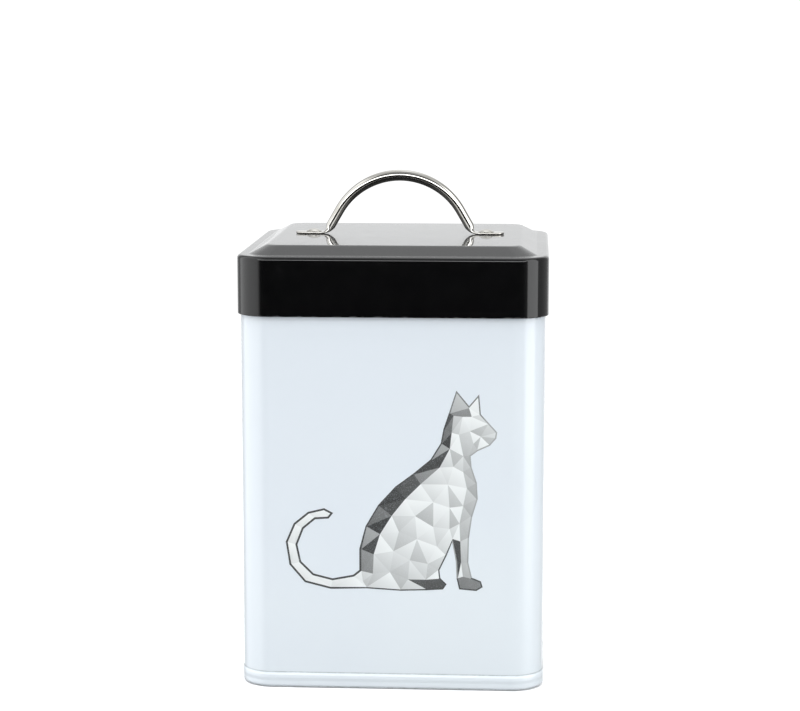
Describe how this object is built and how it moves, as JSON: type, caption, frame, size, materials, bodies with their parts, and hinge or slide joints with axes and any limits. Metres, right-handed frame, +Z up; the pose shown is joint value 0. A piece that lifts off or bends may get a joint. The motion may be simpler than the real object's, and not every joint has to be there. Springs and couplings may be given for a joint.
{
  "type": "pet food bin",
  "caption": "Tall square storage tin with rounded corners, rolled collar at the mouth, and a pressed slip lid with a riveted bow handle.",
  "frame": {"origin": "centre of the square footprint, on the plane the tin stands on", "axes": "+Z up out of the mouth, front wall with the print facing -Y, +X to the right seen from the front"},
  "size_m": [0.1724, 0.1724, 0.2846],
  "materials": {
    "white_enamel": "gloss white enamel with a printed grey facet pattern on the front wall",
    "black_enamel": "gloss black enamel",
    "bright_steel": "polished plated wire",
    "plain_steel": "plain zinc-plated steel"
  },
  "bodies": {
    "bin": {"body_shell": "white_enamel", "top_collar": "white_enamel", "base_plate": "white_enamel"},
    "lid": {"lid_cap": "black_enamel", "lid_handle": "bright_steel", "handle_rivets": "bright_steel", "rivet_washers": "plain_steel"}
  },
  "joints": [
    {"name": "lid_lift", "type": "slide", "parent": "bin", "child": "lid", "axis": [0, 0, 1], "range_m": [0, 0.08]}
  ]
}
